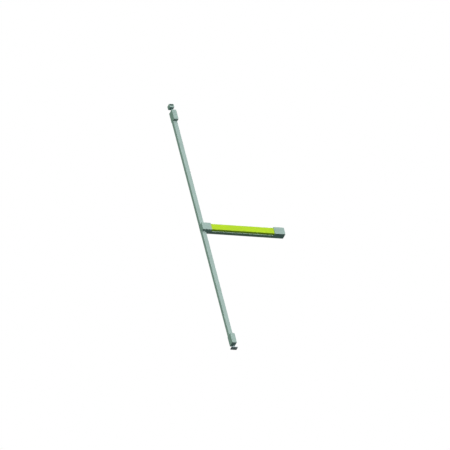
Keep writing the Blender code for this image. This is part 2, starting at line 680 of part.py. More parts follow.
def latch_case(prefix, sign, case_start):
    """A bent steel base that guides rod and bolt, its box cover and the screw that holds it."""
    case_end = case_start + CASE_HEIGHT
    foot, head = case_start + CASE_WALL + FIT, case_end - CASE_WALL - FIT
    sheet = CASE_SHEET
    channel = [
        (0, foot), (CASE_EAR_DEPTH, foot), (CASE_EAR_DEPTH, foot + sheet), (sheet, foot + sheet),
        (sheet, head - sheet), (CASE_EAR_DEPTH, head - sheet), (CASE_EAR_DEPTH, head), (0, head),
    ]
    half = CASE_INSIDE - FIT
    base_bm = prism([(d, sign * z) for d, z in channel], "X", -half, half)
    ends = (sign * foot, sign * head)
    long_edges = [
        e for e in base_bm.edges
        if all(min(abs(v.co.z - z) for z in ends) < 1e-6 for v in e.verts)
        and abs(e.verts[0].co.x - e.verts[1].co.x) < 1e-6
    ]
    bmesh.ops.bevel(
        base_bm, geom=long_edges, offset=CASE_ROUND - CASE_WALL - FIT, offset_type="OFFSET",
        affect="EDGES", segments=CORNER_STEPS, profile=0.5, material=-1,
    )
    base = piece(prefix + "_case_base", base_bm, STEEL)

    def span(start, end):
        return sorted((sign * start, sign * end))

    screw_z, screw_depth = case_end - CASE_SCREW_OFFSET, CASE_SCREW_DEPTH
    block = span(screw_z - SCREW_BLOCK / 2, screw_z + SCREW_BLOCK / 2)
    block_x = (half - SCREW_LENGTH, half)
    join(base, box(block_x, (sheet / 2, screw_depth + SCREW_BLOCK / 2), block))
    bore = ROD_DIAMETER / 2 + FIT
    rod_hole = span(foot - CUT_OVER, foot + sheet + CUT_OVER)
    carve(base, cylinder("Z", (0, ROD_AXIS), bore, rod_hole[0], rod_hole[1]))
    bolt_hole = span(head - sheet - CUT_OVER, head + CUT_OVER)
    carve(base, cylinder("Z", (0, BOLT_AXIS), HOLE_RADIUS, bolt_hole[0], bolt_hole[1]))
    thread = (screw_depth, sign * screw_z)
    carve(base, screw_hole("X", thread, block_x[0] - CUT_OVER, half + CUT_OVER))
    for share in (0.15, 0.65):
        carve(base, mount_hole("Y", (-half / 2, sign * (case_start + share * CASE_HEIGHT)), sheet))

    outer = span(case_start, case_end)
    inner = span(case_start + CASE_WALL, case_end - CASE_WALL)
    wide = CASE_WIDTH / 2
    cover_bm = soft_box((-wide, wide), (0, CASE_DEPTH), outer, CASE_ROUND)
    cover = piece(prefix + "_case_cover", cover_bm, CASE_PAINT)
    hollow_depth = (-CUT_OVER, CASE_DEPTH - CASE_WALL)
    hollow = soft_box((-CASE_INSIDE, CASE_INSIDE), hollow_depth, inner, CASE_ROUND - CASE_WALL)
    carve(cover, hollow)
    behind = -2 * HOLE_RADIUS
    rod_notch = slot((0, behind), (0, ROD_AXIS), 2 * bore + 2 * FIT)
    notch = span(case_start - CUT_OVER, foot)
    carve(cover, prism(rod_notch, "Z", notch[0], notch[1]))
    bolt_notch = slot((0, behind), (0, BOLT_AXIS), 2 * HOLE_RADIUS)
    notch = span(head, case_end + CUT_OVER)
    carve(cover, prism(bolt_notch, "Z", notch[0], notch[1]))
    carve(cover, screw_hole("X", thread, CASE_INSIDE - CUT_OVER, wide + CUT_OVER))
    side_screw(prefix + "_case_screw", wide + FIT, screw_depth, sign * screw_z)


def overhead_keeper():
    """The box over the door that takes the top bolt, with its screws deep in a pocket in front."""
    wide, top = CASE_WIDTH / 2, KEEPER_FACE + KEEPER_HEIGHT
    keeper_bm = soft_box((-wide, wide), (0, KEEPER_DEPTH), (KEEPER_FACE, top), KEEPER_ROUND)
    keeper = piece("overhead_keeper", keeper_bm, CASE_PAINT)
    wall, inside = KEEPER_WALL, wide - KEEPER_WALL
    inner_depth = (-CUT_OVER, KEEPER_DEPTH - wall)
    rise = (KEEPER_FACE + wall, top - wall)
    carve(keeper, soft_box((-inside, inside), inner_depth, rise, KEEPER_ROUND - wall))
    seat = KEEPER_DEPTH - KEEPER_POCKET
    low, high = KEEPER_FACE + KEEPER_ENGAGEMENT + 2 * RUN + wall, top - KEEPER_ROUND - RUN
    screw_z, radius = (low + high) / 2, KEEPER_BOSS_DIAMETER / 2
    bite = wall / 4
    block_x, front = (-inside - bite, inside + bite), KEEPER_DEPTH - wall + bite
    join(keeper, box(block_x, (seat - wall, front), (low - wall, top - wall + bite)))
    half = wide - KEEPER_ROUND - RUN
    offset = half - radius - KEEPER_BOSS_MARGIN
    places = [(side * offset, screw_z) for side in (-1, 1)]
    for place in places:
        join(keeper, cylinder("Y", place, radius, 0, seat - wall / 2))
    mouth = [(-half, low), (half, low), (half, high), (-half, high)]
    mouth = rounded(mouth, {i: KEEPER_ROUND - wall for i in range(4)})
    carve(keeper, prism(mouth, "Y", seat, KEEPER_DEPTH + CUT_OVER))
    for place, word in zip(places, ("left", "right")):
        carve(keeper, screw_hole("Y", place, -CUT_OVER, seat + CUT_OVER))
        piece("keeper_screw_" + word, out_of_door(pan_screw(), *place, seat + FIT), STEEL)
    hole = (KEEPER_FACE - CUT_OVER, KEEPER_FACE + wall + CUT_OVER)
    carve(keeper, cylinder("Z", (0, BOLT_AXIS), HOLE_RADIUS, hole[0], hole[1]))


def floor_strike():
    """The plate let into the floor, with the bolt's hole and two countersunk screw holes."""
    half_x, half_d = FLOOR_WIDTH / 2, FLOOR_LENGTH / 2
    near, far = BOLT_AXIS - half_d, BOLT_AXIS + half_d
    outline = [(-half_x, near), (half_x, near), (half_x, far), (-half_x, far)]
    outline = rounded(outline, {i: FLOOR_ROUND for i in range(4)})
    bottom = -FLOOR_FACE - FLOOR_THICKNESS
    plate = piece("floor_strike", prism(outline, "Z", bottom, -FLOOR_FACE), STEEL)
    mouth = (bottom - CUT_OVER, -FLOOR_FACE + CUT_OVER)
    carve(plate, cylinder("Z", (0, BOLT_AXIS), HOLE_RADIUS, mouth[0], mouth[1]))
    hole, head = SCREW_SHANK / 2 + FIT, SCREW_HEAD / 2
    for side in (-1, 1):
        section = [
            (0, bottom - CUT_OVER), (hole, bottom - CUT_OVER), (hole, -FLOOR_FACE - (head - hole)),
            (head + FIT, -FLOOR_FACE + FIT), (0, -FLOOR_FACE + FIT),
        ]
        sink = turned(section, sides=SMALL_SIDES)
        bmesh.ops.translate(sink, verts=sink.verts, vec=(side * FLOOR_SCREW_OFFSET, -BOLT_AXIS, 0))
        carve(plate, sink)


def chassis_rail():
    """The extruded channel on the door that the pad slides in."""
    half, wall, lip = BAR_HEIGHT / 2, CHASSIS_WALL, PAD_HEIGHT / 2 + FIT
    upper = [
        (wall, 0.0), (wall, half - wall), (CHASSIS_DEPTH - CHASSIS_LIP, half - wall),
        (CHASSIS_DEPTH - CHASSIS_LIP, lip), (CHASSIS_DEPTH, lip), (CHASSIS_DEPTH, half), (0, half),
    ]
    upper = rounded(upper, {5: 0.001})[1:]
    rail_bm = prism(mirrored(upper), "X", HEAD_RIGHT + FIT, END_LEFT - FIT)
    rail = piece("chassis_rail", rail_bm, RAIL_ALUMINIUM)
    for share in (0.04, 0.5, 0.96):
        carve(rail, mount_hole("Y", (HEAD_RIGHT + share * PAD_SPAN, half / 2), wall))


def push_pad(holder):
    """The extruded pad: a rounded front with two walls, and a flange behind the chassis lips."""
    half, wall = PAD_HEIGHT / 2, PAD_WALL
    inside = half - wall
    behind, wide = FLANGE_FRONT - wall, half + PAD_FLANGE
    upper = [
        (PAD_FRONT - wall, inside), (behind, inside), (behind, wide),
        (FLANGE_FRONT, wide), (FLANGE_FRONT, half), (PAD_FRONT, half),
    ]
    inner_round = PAD_ROUND - wall
    corners = {0: inner_round, 5: PAD_ROUND, 6: PAD_ROUND, 11: inner_round}
    bm = prism(rounded(mirrored(upper), corners), "X", HEAD_RIGHT + RUN, END_LEFT - RUN)
    piece("push_pad", bm, PAD_PAINT, holder)


def end_fittings():
    """The end cap, the angle bracket that it slides over and the screw through its end."""
    half = BAR_HEIGHT / 2
    cap_bm = soft_box((END_LEFT, END_RIGHT), (0, CAP_DEPTH), (-half, half), CAP_ROUND)
    cap = piece("end_cap", cap_bm, CASE_PAINT)
    inside = half - CAP_WALL
    inner_x = (END_LEFT + CAP_WALL, END_RIGHT - CAP_WALL)
    inner_depth = (-CUT_OVER, CAP_DEPTH - CAP_WALL)
    carve(cap, soft_box(inner_x, inner_depth, (-inside, inside), CAP_ROUND - CAP_WALL))
    mouth_x = (END_LEFT - CUT_OVER, END_LEFT + 5 * CAP_WALL)
    carve(cap, box(mouth_x, (-CUT_OVER, CHASSIS_DEPTH + FIT), (-inside, inside)))
    sheet, screw_depth = CASE_SHEET, CHASSIS_DEPTH
    foot, tab, rise = END_LEFT + CAP_WALL, END_RIGHT - CAP_WALL - FIT, screw_depth + SCREW_BLOCK * 0.8
    angle = [
        (foot, 0), (tab, 0), (tab, rise), (tab - sheet, rise), (tab - sheet, sheet), (foot, sheet),
    ]
    bracket = piece("end_bracket", prism(angle, "Z", -PAD_HEIGHT / 2.5, PAD_HEIGHT / 2.5), STEEL)
    for target in (cap, bracket):
        carve(target, screw_hole("X", (screw_depth, 0), tab - 2 * sheet, END_RIGHT + CUT_OVER))
    for side in (-1, 1):
        place = ((END_LEFT + tab) / 2, side * PAD_HEIGHT / 4)
        carve(bracket, mount_hole("Y", place, sheet))
    side_screw("end_cap_screw", END_RIGHT + FIT, screw_depth, 0)


def crank_outline():
    """A bell crank with its arms square to each other, as (x, depth) about its pivot."""
    half = CRANK_ARM_WIDTH / 2
    far = PAD_ARM / cos(HALF_SWING)
    inner = [(-half - 0.003, -half), (-half, -half - 0.003)]
    corner = 0.001
    fork = [(-half, corner - FORK_REACH), (corner - half, -FORK_REACH)]
    fork += [(-x, d) for x, d in reversed(fork)]
    return arc((-far, 0), half, 90, 270, 8) + inner + fork + arc((0, 0), half, 0, 90, 4)


def bell_crank(side, place):
    """One crank: the pad's pin turns it and it draws the control bar along."""
    holder = body_origin("bell_crank_" + side + "_axis", (place, -CRANK_PIVOT_DEPTH, 0))
    top, bottom = CRANK_TOP, CRANK_TOP - CRANK_PLATE
    play = PIN_DIAMETER + 2 * BACKLASH
    bore = PIN_DIAMETER / 2 + FIT * 0.7

    def turned_back(points):
        """Turn points about the pivot to the rest position and move them there."""
        c, s = cos(-HALF_SWING), sin(-HALF_SWING)
        return [(place + x * c - d * s, CRANK_PIVOT_DEPTH + x * s + d * c) for x, d in points]

    blank = prism(turned_back(crank_outline()), "Z", bottom, top)
    crank = piece("bell_crank_" + side, blank, STEEL, holder)
    cut_z = (bottom - CUT_OVER, top + CUT_OVER)
    pad_slot = slot((-PAD_ARM, 0), (-PAD_ARM / cos(HALF_SWING), 0), play)
    bar_slot = slot((0, -BAR_ARM), (0, -FORK_REACH - play), play)
    for shape in (pad_slot, bar_slot, circle((0, 0), bore)):
        carve(crank, prism(turned_back(shape), "Z", *cut_z))


def crank_bracket(side, place):
    """A folded bracket on the chassis floor with two ears, and the pivot pin through them."""
    ear_top = (EAR_TOP_START, EAR_TOP_START + BRACKET_SHEET)
    ear_bottom = (EAR_BOTTOM_END - BRACKET_SHEET, EAR_BOTTOM_END)
    foot = CHASSIS_WALL + FIT
    reach = CRANK_PIVOT_DEPTH + CRANK_ARM_WIDTH * 0.4
    half = BRACKET_LENGTH / 2
    floor = foot + BRACKET_SHEET
    channel = [
        (foot, ear_bottom[0]), (reach, ear_bottom[0]), (reach, ear_bottom[1]), (floor, ear_bottom[1]),
        (floor, ear_top[0]), (reach, ear_top[0]), (reach, ear_top[1]), (foot, ear_top[1]),
    ]
    ear_half = CRANK_ARM_WIDTH / 2
    bracket = piece("crank_bracket_" + side, prism(channel, "X", place - half, place + half), STEEL)
    for sign in (-1, 1):
        x = sorted((place + sign * ear_half, place + sign * (half + CUT_OVER)))
        above = (ear_bottom[0] - CUT_OVER, ear_top[1] + CUT_OVER)
        carve(bracket, box(x, (floor + 0.004, reach + CUT_OVER), above))
    bore = PIN_DIAMETER / 2 + FIT * 0.7
    pin = (ear_bottom[0] - 0.0008, ear_top[1] + 0.0008)
    centre = (place, CRANK_PIVOT_DEPTH)
    carve(bracket, cylinder("Z", centre, bore, pin[0] - CUT_OVER, pin[1] + CUT_OVER))
    piece("crank_pivot_" + side, cylinder("Z", centre, PIN_DIAMETER / 2, pin[0], pin[1]), STEEL)


def pad_bracket(side, place, holder):
    """The bracket inside the pad with two legs and the pin that works the crank."""
    sheet = BRACKET_SHEET
    inner = PAD_FRONT - PAD_WALL - FIT
    web_start = inner - sheet
    pin_depth = CRANK_PIVOT_DEPTH + PAD_TRAVEL / 2
    leg_end = pin_depth - PIN_DIAMETER * 0.75
    leg_low = CRANK_TOP - CRANK_PLATE - 2 * RUN
    legs = ((EAR_TOP_START, EAR_TOP_START + sheet), (leg_low - sheet, leg_low))
    pin_x = place - PAD_ARM
    left = pin_x - 0.008
    right = place + PAD_SPRING_OFFSET + PAD_SPRING_DIAMETER / 2 + 0.002
    high = PAD_HEIGHT / 2 - PAD_ROUND - PAD_WALL
    web = box((left, right), (web_start, inner), (-high, high))
    bracket = piece("pad_bracket_" + side, web, STEEL, holder)
    leg_x = (pin_x - 0.006, pin_x + 0.006)
    for low, top in legs:
        join(bracket, box(leg_x, (leg_end, web_start + sheet / 2), (low, top)))
    bore = PIN_DIAMETER / 2 + FIT * 0.7
    pin = (legs[1][0] - 0.0006, legs[0][1] + 0.0006)
    centre = (pin_x, pin_depth)
    carve(bracket, cylinder("Z", centre, bore, pin[0] - CUT_OVER, pin[1] + CUT_OVER))
    piece("pad_pin_" + side, cylinder("Z", centre, PIN_DIAMETER / 2, pin[0], pin[1]), STEEL, holder)
    start = CHASSIS_WALL + FIT
    coil = spring(PAD_SPRING_DIAMETER, SPRING_WIRE, PAD_SPRING_TURNS, web_start - FIT - start)
    out_of_door(coil, place + PAD_SPRING_OFFSET, PAD_SPRING_DIAMETER * 0.8, start)
    piece("pad_spring_" + side, coil, STEEL)


def control_bar():
    """The flat bar with rack teeth at the head and a pin for each crank."""
    holder = body_origin("control_bar_axis", (0, -BAR_AXIS, BAR_TOP - BAR_THICKNESS / 2))
    left = -GUIDE_INNER + FIT
    right = RIGHT_CRANK_PLACE + CRANK_ARM_WIDTH
    root = -PINION_RADIUS - DEDENDUM
    bottom = BAR_TOP - BAR_THICKNESS
    last = 2 * MODULE * pi
    teeth = [(x, height - PINION_RADIUS) for x, height in rack_teeth(left - FIT / 3, last + FIT)]
    outline = [(left, bottom), (left, root)] + [p for p in teeth if p[0] > left]
    outline += [(last, root), (last + MODULE, BAR_TOP), (right, BAR_TOP), (right, bottom)]
    bar = piece("control_bar", prism(outline, "Y", BAR_START, BAR_START + BAR_WIDTH), STEEL, holder)
    for side, place in SIDES:
        centre = (place - BAR_TRAVEL / 2, BAR_AXIS)
        bore = PIN_DIAMETER / 2 + FIT * 0.7
        hole_start = BAR_TOP - BAR_THICKNESS * 0.7
        carve(bar, cylinder("Z", centre, bore, hole_start, BAR_TOP + CUT_OVER))
        pin_bm = cylinder("Z", centre, PIN_DIAMETER / 2, hole_start + FIT, CRANK_TOP + FIT)
        piece("control_pin_" + side, pin_bm, STEEL, holder)


def build():
    head_base_plate()
    head_cover()
    gear_train()
    rod_line("upper", "top", 1, TOP_CASE_START, KEEPER_FACE + KEEPER_ENGAGEMENT)
    rod_line("lower", "bottom", -1, BOTTOM_CASE_START, FLOOR_FACE + FLOOR_ENGAGEMENT)
    for prefix, sign, case_start in (("upper", 1, TOP_CASE_START), ("lower", -1, BOTTOM_CASE_START)):
        rod_cover(prefix + "_rod_cover", sign, case_start)
        for word, share in (("inner", 0.25), ("outer", 0.75)):
            place = YOKE_END + share * (case_start - YOKE_END)
            rod_guide(prefix + "_rod_guide_" + word, sign, place)
    latch_case("top", 1, TOP_CASE_START)
    latch_case("bottom", -1, BOTTOM_CASE_START)
    overhead_keeper()
    floor_strike()
    chassis_rail()
    pad = body_origin("push_pad_axis", ((HEAD_RIGHT + END_LEFT) / 2, -FLANGE_FRONT, 0))
    push_pad(pad)
    for side, place in SIDES:
        pad_bracket(side, place, pad)
        crank_bracket(side, place)
        bell_crank(side, place)
    control_bar()
    end_fittings()
    settle()


build()
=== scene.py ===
# %% [markdown]
# # An emergency exit lock with a push bar and two vertical bolts
#
# On the real device a lime pad is pushed, and racks and rods draw one bolt down out of a keeper
# over the door and one bolt up out of a plate on the floor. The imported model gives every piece
# its place, so this lesson only adds what the eye sees: rounded sheet metal, threads, springs,
# paint, light and a camera.

# %% Load the model
import json
from math import pi, radians

import bmesh
import bpy
from mathutils import Matrix, Vector


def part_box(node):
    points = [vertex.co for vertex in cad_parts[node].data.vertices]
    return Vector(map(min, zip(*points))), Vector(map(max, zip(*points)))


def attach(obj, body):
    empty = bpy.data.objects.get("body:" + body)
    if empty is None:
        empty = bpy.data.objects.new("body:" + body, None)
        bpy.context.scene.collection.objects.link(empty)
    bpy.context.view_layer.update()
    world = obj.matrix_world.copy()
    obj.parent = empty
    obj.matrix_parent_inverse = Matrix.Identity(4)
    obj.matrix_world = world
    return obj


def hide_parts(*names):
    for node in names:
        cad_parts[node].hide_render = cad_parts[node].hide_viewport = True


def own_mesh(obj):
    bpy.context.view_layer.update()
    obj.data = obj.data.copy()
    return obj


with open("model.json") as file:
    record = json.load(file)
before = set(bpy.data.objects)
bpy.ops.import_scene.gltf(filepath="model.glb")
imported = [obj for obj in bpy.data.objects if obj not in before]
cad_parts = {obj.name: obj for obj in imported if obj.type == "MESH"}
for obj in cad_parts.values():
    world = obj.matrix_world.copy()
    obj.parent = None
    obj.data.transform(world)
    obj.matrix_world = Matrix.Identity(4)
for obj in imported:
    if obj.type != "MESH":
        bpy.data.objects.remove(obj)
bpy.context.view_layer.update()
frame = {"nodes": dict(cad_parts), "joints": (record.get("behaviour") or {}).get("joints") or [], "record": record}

# %% [markdown]
# ## The camera
#
# The picture is drawn without perspective, so the camera is orthographic. Its three directions
# were worked out from the slants of the rod cover, the push bar and the depth of the end cap.
# It looks up from below the push bar, and its frame is a little over three metres wide. The
# frame's middle is given as metres to the right and up in the picture from the model's origin.

# %% Camera
VIEW_RIGHT = Vector((0.9123, -0.3541, -0.2057)).normalized()
ROUGH_UP = Vector((-0.0604, -0.6133, 0.7876))
VIEW_UP = (ROUGH_UP - ROUGH_UP.dot(VIEW_RIGHT) * VIEW_RIGHT).normalized()
VIEW_BACK = VIEW_RIGHT.cross(VIEW_UP)
FRAME_WIDTH = 3.109
FRAME_MIDDLE = (0.16078, 0.03474)
CAMERA_DISTANCE = 6
CAMERA_REACH = 40

camera = bpy.data.objects.new("photo_camera", bpy.data.cameras.new("photo_camera"))
camera.data.type = "ORTHO"
camera.data.ortho_scale = FRAME_WIDTH
camera.data.clip_end = CAMERA_REACH
view_centre = FRAME_MIDDLE[0] * VIEW_RIGHT + FRAME_MIDDLE[1] * VIEW_UP
placement = Matrix((VIEW_RIGHT, VIEW_UP, VIEW_BACK)).transposed().to_4x4()
placement.translation = view_centre + CAMERA_DISTANCE * VIEW_BACK
camera.matrix_world = placement
bpy.context.scene.collection.objects.link(camera)
bpy.context.scene.camera = camera
bpy.context.scene.view_settings.view_transform = "Standard"
print("camera looks along", [round(part, 3) for part in -VIEW_BACK])

# %% [markdown]
# ## Shader maths as plain expressions
#
# A material's pattern is a sum of small maps. Writing those sums with node calls hides them, so
# one small class wraps a socket and lets `+` and `*` add the Math nodes. Every other node comes
# from its one method `node`.

# %% Wire class
class Wire:
    """A shader socket that takes part in sums, and a way to add any other node."""

    def __init__(self, tree, socket=None):
        self.tree, self.socket = tree, socket

    def node(self, kind, settings=None, inputs=None, output=0):
        made = self.tree.nodes.new(kind)
        for key, value in (settings or {}).items():
            setattr(made, key, value)
        for key, value in (inputs or {}).items():
            if isinstance(value, Wire):
                self.tree.links.new(value.socket, made.inputs[key])
            else:
                made.inputs[key].default_value = value
        return Wire(self.tree, made.outputs[output] if made.outputs else None)

    def maths(self, operation, first, second):
        return self.node("ShaderNodeMath", {"operation": operation}, {0: first, 1: second})

    def __add__(self, other):
        return self.maths("ADD", self, other)

    __radd__ = __add__

    def __mul__(self, other):
        return self.maths("MULTIPLY", self, other)

    __rmul__ = __mul__

    def mix(self, share, first, second):
        """The first colour where the share is 0, the second where it is 1."""
        # Sockets 6 and 7 are the Mix node's two colours.
        inputs = {0: share, 6: first, 7: second}
        return self.node("ShaderNodeMix", {"data_type": "RGBA"}, inputs, 2)


def empty_tree(owner):
    """Clear the nodes of a material or a world, and give a wire to start from."""
    owner.use_nodes = True
    owner.node_tree.nodes.clear()
    return Wire(owner.node_tree)


# %% [markdown]
# ## The floor
#
# The floor plate stands on the floor, which has an opening under it, a little smaller than the
# plate, so that light reaches the plate's underside. A plane with a hole could be cut, but two
# rims joined by bridge_loops give it at once. The floor's lower side is clear, because the
# picture is taken from below it.

# %% Floor
FLOOR_HALF = 40.0
FLOOR_GAP = 0.0002
OPENING_INSET = Vector((0.004, 0.004, 0))
plate_low, plate_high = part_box("floor_strike")
floor_level = plate_low.z - FLOOR_GAP


def corners(low, high):
    """The four corners of a level rectangle, in turn."""
    return [(low[0], low[1]), (high[0], low[1]), (high[0], high[1]), (low[0], high[1])]


bm = bmesh.new()
rims = []
opening = corners(plate_low + OPENING_INSET, plate_high - OPENING_INSET)
for outline in (opening, corners((-FLOOR_HALF,) * 2, (FLOOR_HALF,) * 2)):
    verts = [bm.verts.new((x, y, floor_level)) for x, y in outline]
    rims += [bm.edges.new((verts[i - 1], verts[i])) for i in range(4)]
bmesh.ops.bridge_loops(bm, edges=rims)
for face in bm.faces:
    if face.normal.z < 0:
        face.normal_flip()
floor_mesh = bpy.data.meshes.new("floor")
bm.to_mesh(floor_mesh)
bm.free()
floor = bpy.data.objects.new("floor", floor_mesh)
bpy.context.scene.collection.objects.link(floor)
print("floor level", round(floor_level, 4))

# %% [markdown]
# The camera may see the floor's upper side nearly white, like the picture's page. Every other
# ray meets a dull grey, so that the floor throws only a little light back at the lock.

# %% Floor paint
FLOOR_FOR_LIGHT = (0.105, 0.138, 0.126, 1)
FLOOR_FOR_CAMERA = (0.95, 0.95, 0.94, 1)

floor_paint = bpy.data.materials.new("floor_paint")
start = empty_tree(floor_paint)
light_path = start.node("ShaderNodeLightPath", output="Is Camera Ray")
tone = start.mix(light_path, FLOOR_FOR_LIGHT, FLOOR_FOR_CAMERA)
solid = start.node("ShaderNodeBsdfDiffuse", inputs={"Color": tone})
clear = start.node("ShaderNodeBsdfTransparent")
below = start.node("ShaderNodeNewGeometry", output="Backfacing")
start.node("ShaderNodeOutputMaterial", inputs={
    "Surface": start.node("ShaderNodeMixShader", inputs={0: below, 1: solid, 2: clear}),
})
floor_mesh.materials.append(floor_paint)

# %% [markdown]
# ## Surroundings
#
# The camera sees a white background. Everything else sees a soft sky that is bright in front and
# overhead, and dark behind and below, where a real door and floor would be. So the fronts are
# pale, the sides are half as light and the undersides are dark, as in the picture.

# %% Surroundings
SKY_SIDE, SKY_LOW, SKY_GAIN = Vector((0.15, -0.75, 0.64)), 0.14, 0.52
SKY_TINT, WHITE = (0.85, 1.0, 0.93, 1), (1, 1, 1, 1)

world = bpy.data.worlds.new("studio")
bpy.context.scene.world = world
start = empty_tree(world)
outward = start.node("ShaderNodeTexCoord", output="Generated")
ahead = start.node(
    "ShaderNodeVectorMath", {"operation": "DOT_PRODUCT"}, {0: outward, 1: SKY_SIDE}, "Value")
sky = SKY_LOW + SKY_GAIN * ahead.maths("MAXIMUM", ahead, 0)
seen = start.node("ShaderNodeLightPath", output="Is Camera Ray")
glow = start.node("ShaderNodeBackground", inputs={
    "Color": start.mix(seen, SKY_TINT, WHITE),
    "Strength": start.node("ShaderNodeClamp", inputs={0: seen + sky}),
})
start.node("ShaderNodeOutputWorld", inputs={"Surface": glow})

# %% [markdown]
# ## Lamps
#
# Three far lamps add what the sky lacks: one in front of the door, one from the left for the
# narrow sides, and one from above and behind for the floor, the tops and the backs. Sun lamps
# give the same light everywhere, which suits a lock that is two metres high.

# %% Lamps
LAMP_SPREAD = radians(10)


def sun(name, side, light, colour):
    """A far lamp on the given side that gives a surface facing it that much light."""
    lamp = bpy.data.lights.new(name, "SUN")
    lamp.energy, lamp.color, lamp.angle = light * pi, colour, LAMP_SPREAD
    made = bpy.data.objects.new(name, lamp)
    made.rotation_euler = Vector(side).to_track_quat("Z", "Y").to_euler()
    bpy.context.scene.collection.objects.link(made)


sun("front_lamp", (0.38, -0.92, 0.12), 0.50, (1.0, 0.97, 1.0))
sun("side_lamp", (-0.85, -0.45, 0.15), 0.30, (0.76, 1.0, 0.76))
sun("fill_lamp", (0.25, 0.5, 0.83), 0.50, (1.0, 1.0, 1.0))

# %% [markdown]
# One more lamp stands low in front and is turned towards the push bar, a little past the pad's
# middle. It lights nothing by itself: it is only seen as the bright line in the rounded lower
# edges of the push bar.

# %% Edge lamp
EDGE_SIDE, EDGE_DISTANCE = Vector((0.405, -0.581, -0.706)), 1.3
EDGE_WIDTH, EDGE_HEIGHT, EDGE_POWER = 0.9, 0.4, 6
AIM_SHARE = 0.6

lamp = bpy.data.lights.new("edge_lamp", "AREA")
lamp.shape, lamp.size, lamp.size_y = "RECTANGLE", EDGE_WIDTH, EDGE_HEIGHT
lamp.energy = EDGE_POWER
edge_lamp = bpy.data.objects.new("edge_lamp", lamp)
aim = Vector((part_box("push_pad")[1].x, 0, 0)) * AIM_SHARE
edge_lamp.location = aim + EDGE_SIDE * EDGE_DISTANCE
edge_lamp.rotation_euler = EDGE_SIDE.to_track_quat("Z", "Y").to_euler()
edge_lamp.visible_camera = edge_lamp.visible_diffuse = False
bpy.context.scene.collection.objects.link(edge_lamp)
print("edge lamp at", [round(part, 3) for part in edge_lamp.location])

# %% [markdown]
# ## Paint, metal and plastic
#
# The covers are sheet metal under a satin paint, which is never quite even: it has a fine
# orange peel, and its tone drifts a little. Both come from noise on Object coordinates, so they
# stay with the piece. The rail is drawn through a die, which leaves lines along it. The pad is
# drawn too, but its lime paint hides the lines.

# %% Colours and maps
DARKEST, LIGHTEST = 0.90, 1.08


def linear(colour):
    """A colour with sRGB channels up to 255, as the linear values that a shader takes.

    Only sRGB's curve is used, so the very darkest tones come out a little too bright.
    """
    return tuple(((c / 255 + 0.055) / 1.055) ** 2.4 for c in colour) + (1,)


def finish(name, colour, roughness, metallic):
    """A material with its even values set, and a wire from which its pattern starts."""
    made = bpy.data.materials.new(name)
    made.use_nodes = True
    shader = made.node_tree.nodes["Principled BSDF"]
    shader.inputs["Base Color"].default_value = linear(colour)
    shader.inputs["Roughness"].default_value = roughness
    shader.inputs["Metallic"].default_value = metallic
    return made, shader, Wire(made.node_tree)


def noise(start, scale, stretch=(1, 1, 1), detail=2.0):
    """Noise in cells per metre, drawn out along an axis whose stretch is small."""
    place = start.node("ShaderNodeTexCoord", output="Object")
    place = start.node("ShaderNodeMapping", inputs={"Vector": place, "Scale": stretch})
    return start.node(
        "ShaderNodeTexNoise", inputs={"Vector": place, "Scale": scale, "Detail": detail})


def shade(start, colour, amount):
    """A colour made darker and lighter by a map that runs from 0 to 1."""
    darker = tuple(DARKEST * c for c in linear(colour)[:3]) + (1,)
    lighter = tuple(min(1, LIGHTEST * c) for c in linear(colour)[:3]) + (1,)
    return start.mix(amount, darker, lighter)


def around(value, spread, amount):
    """A value that a map moves down and up by the spread."""
    return value - spread + 2 * spread * amount


def bump(start, height, strength, depth):
    return start.node(
        "ShaderNodeBump", inputs={"Strength": strength, "Distance": depth, "Height": height})


def feed(start, shader, maps):
    """Link each named input of a shader to its map."""
    for name, wire in maps.items():
        start.tree.links.new(wire.socket, shader.inputs[name])


# %% [markdown]
# A paint and a metal differ in what their noise stands for. In paint it is the cloudy tone and
# the orange peel. In metal it is the grain, drawn out along the way the tool ran, and it changes
# the tone, the gloss and the bump together.

# %% Finishes
DRIFT_SCALE, PEEL_SCALE, PEEL_STRENGTH, PEEL_DEPTH = 9.0, 900.0, 0.25, 0.00004
GRAIN_SCALE, GRAIN_DETAIL, CLOUD_SCALE, GRAIN_STRENGTH = 700.0, 3.0, 25.0, 0.3
PAINT_GLOSS_SPREAD, METAL_GLOSS_SPREAD = 0.06, 0.08


def paint(name, colour, roughness, metallic=0.0):
    made, shader, start = finish(name, colour, roughness, metallic)
    drift = noise(start, DRIFT_SCALE)
    peel = noise(start, PEEL_SCALE)
    feed(start, shader, {
        "Base Color": shade(start, colour, drift),
        "Roughness": around(roughness, PAINT_GLOSS_SPREAD, drift),
        "Normal": bump(start, peel, PEEL_STRENGTH, PEEL_DEPTH),
    })
    return made


def metal(name, colour, roughness, stretch, depth, metallic=1.0):
    """Metal with fine lines along one axis, or with an even grain."""
    made, shader, start = finish(name, colour, roughness, metallic)
    lines = noise(start, GRAIN_SCALE, stretch, GRAIN_DETAIL)
    cloud = noise(start, CLOUD_SCALE)
    feed(start, shader, {
        "Base Color": shade(start, colour, 0.5 * lines + 0.5 * cloud),
        "Roughness": around(roughness, METAL_GLOSS_SPREAD, lines),
        "Normal": bump(start, lines, GRAIN_STRENGTH, depth),
    })
    return made


